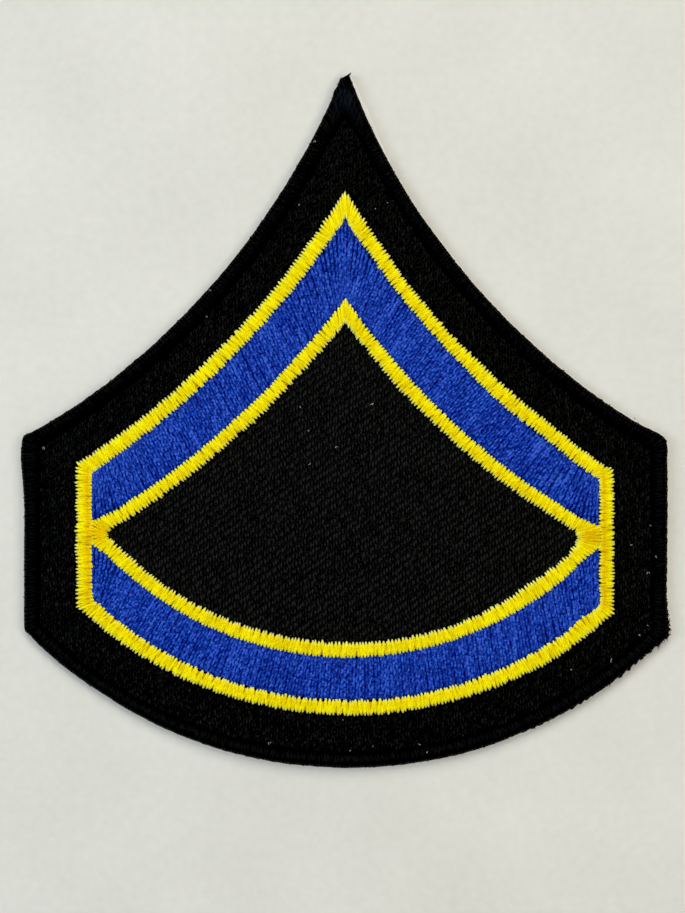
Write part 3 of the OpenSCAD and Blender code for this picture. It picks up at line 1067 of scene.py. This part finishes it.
def add_fibre_ends(threads):
    """Short fibre ends round the cut edge."""
    rng = np.random.default_rng(61)
    ring = cut_ring(0.0, 2400, 0.025, 41)
    away = left_of(unit(ring - np.roll(ring, 40, axis=0)))
    corner = near(ring, from_pixel(*FUZZ_MIDDLE), 3.0)
    weight = 1 + 9 * corner
    picks = rng.choice(len(ring), FUZZ_COUNT, p=weight / weight.sum())
    reach = rng.uniform(0.05, 0.24, FUZZ_COUNT) * (1 + 0.6 * corner[picks])
    skew = rng.normal(0, 0.9, FUZZ_COUNT)
    side = -left_of(away[picks])
    t = np.array([0.0, 0.35, 0.7, 1.0])
    out = (reach[:, None] * t - 0.12)[..., None] * away[picks][:, None]
    slip = (reach * skew)[:, None, None] * (t ** 1.5)[:, None] * side[:, None]
    level = rng.uniform(0.45, CLOTH_TOP - 0.1, FUZZ_COUNT)[:, None]
    droop = 0.12 * rng.random(FUZZ_COUNT)[:, None] * t
    centres = raised(ring[picks][:, None] + out + slip, level - droop)
    looks = np.zeros((FUZZ_COUNT, len(t), 3))
    looks[..., 0] = rng.random(FUZZ_COUNT)[:, None]
    threads.add_tubes(centres, 0.07, 0.06, ROUND_4, looks)


def add_tuft(threads):
    """A few thread ends that stick out together at the point."""
    start = from_pixel(*TUFT_START)
    s = np.linspace(0, 1, 9)[:, None]
    plan = []
    for k, end in enumerate(TUFT_ENDS):
        foot = start + [0.1 * k, -0.05 * k] * (1 - s)
        bow = [0, 0.12] * np.sin(np.pi * s) * (k % 3 - 1)
        plan.append(foot + (from_pixel(*end) - start) * s + bow)
    count = len(plan)
    rise = CLOTH_TOP - 0.1 + 0.35 * np.sin(np.pi * 0.8 * s[:, 0]) * np.linspace(0.5, 1, count)[:, None]
    centres = raised(np.stack(plan), rise)
    # The tuft's look gives the black thread a little painted sheen
    threads.add_tubes(centres, 0.15, 0.13, ROUND_6, np.full((count, len(s), 3), 0.3))


fuzz = Threads()
add_fibre_ends(fuzz)
add_tuft(fuzz)
fuzz.make("edge_fuzz", black, slot="edge_thread")

# Floor, light and camera, in metres
FLOOR_SIZE = 1.6
FLOOR_LEVEL = -0.00001
bpy.ops.mesh.primitive_plane_add(size=FLOOR_SIZE, location=(0, 0, FLOOR_LEVEL))
floor = bpy.context.object
floor.name = "floor"
floor.data.materials.append(floor_material())

world = bpy.data.worlds.new("studio")
bpy.context.scene.world = world
world.use_nodes = True
background = world.node_tree.nodes["Background"]
background.inputs["Color"].default_value = rgb(1.0, 0.96, 0.91)
background.inputs["Strength"].default_value = 0.14


def softbox(name, azimuth, zenith, power, colour, size=0.3, distance=0.6):
    """A square lamp that faces the patch, at an azimuth from +x and an angle from straight above."""
    azimuth, zenith = math.radians(azimuth), math.radians(zenith)
    flat = math.sin(zenith)
    away = Vector((flat * math.cos(azimuth), flat * math.sin(azimuth), math.cos(zenith))) * distance
    lamp = bpy.data.lights.new(name, "AREA")
    lamp.shape = "SQUARE"
    lamp.size = size
    lamp.energy = power
    lamp.color = colour
    light = bpy.data.objects.new(name, lamp)
    light.location = away
    light.rotation_euler = (-away).to_track_quat("-Z", "Y").to_euler()
    bpy.context.scene.collection.objects.link(light)


softbox("top_softbox", 90, 36, 1.67, (1.0, 0.982, 0.9))
softbox("left_softbox", 180, 40, 0.87, (0.75, 0.88, 1.0), size=0.25, distance=0.45)
softbox("right_softbox", 0, 33, 0.66, (1.0, 0.95, 0.835), size=0.2, distance=0.45)
softbox("low_softbox", 270, 36, 0.38, (1.0, 0.975, 0.94))

SENSOR = 36.0
CAMERA_UP = 0.25
PATCH_PLANE = 0.0015  # the height at which a pixel is PIXEL wide
seen_h = FRAME_H * PIXEL * MM
camera_data = bpy.data.cameras.new("camera")
camera_data.sensor_width = SENSOR
camera_data.lens = SENSOR * (CAMERA_UP - PATCH_PLANE) / seen_h
camera = bpy.data.objects.new("camera", camera_data)
aim = from_pixel((FRAME_W - 1) / 2, (FRAME_H - 1) / 2)
camera.location = ((aim[0] + PLAN_X) * MM, (aim[1] + PLAN_Y) * MM, CAMERA_UP)
bpy.context.scene.collection.objects.link(camera)
bpy.context.scene.camera = camera

# The photograph is contrasty: its darkest tones are cut off
view = bpy.context.scene.view_settings
view.view_transform = "Standard"
view.look = "None"
view.use_curve_mapping = True
view.curve_mapping.black_level = (0.006, 0.006, 0.006)
view.curve_mapping.update()
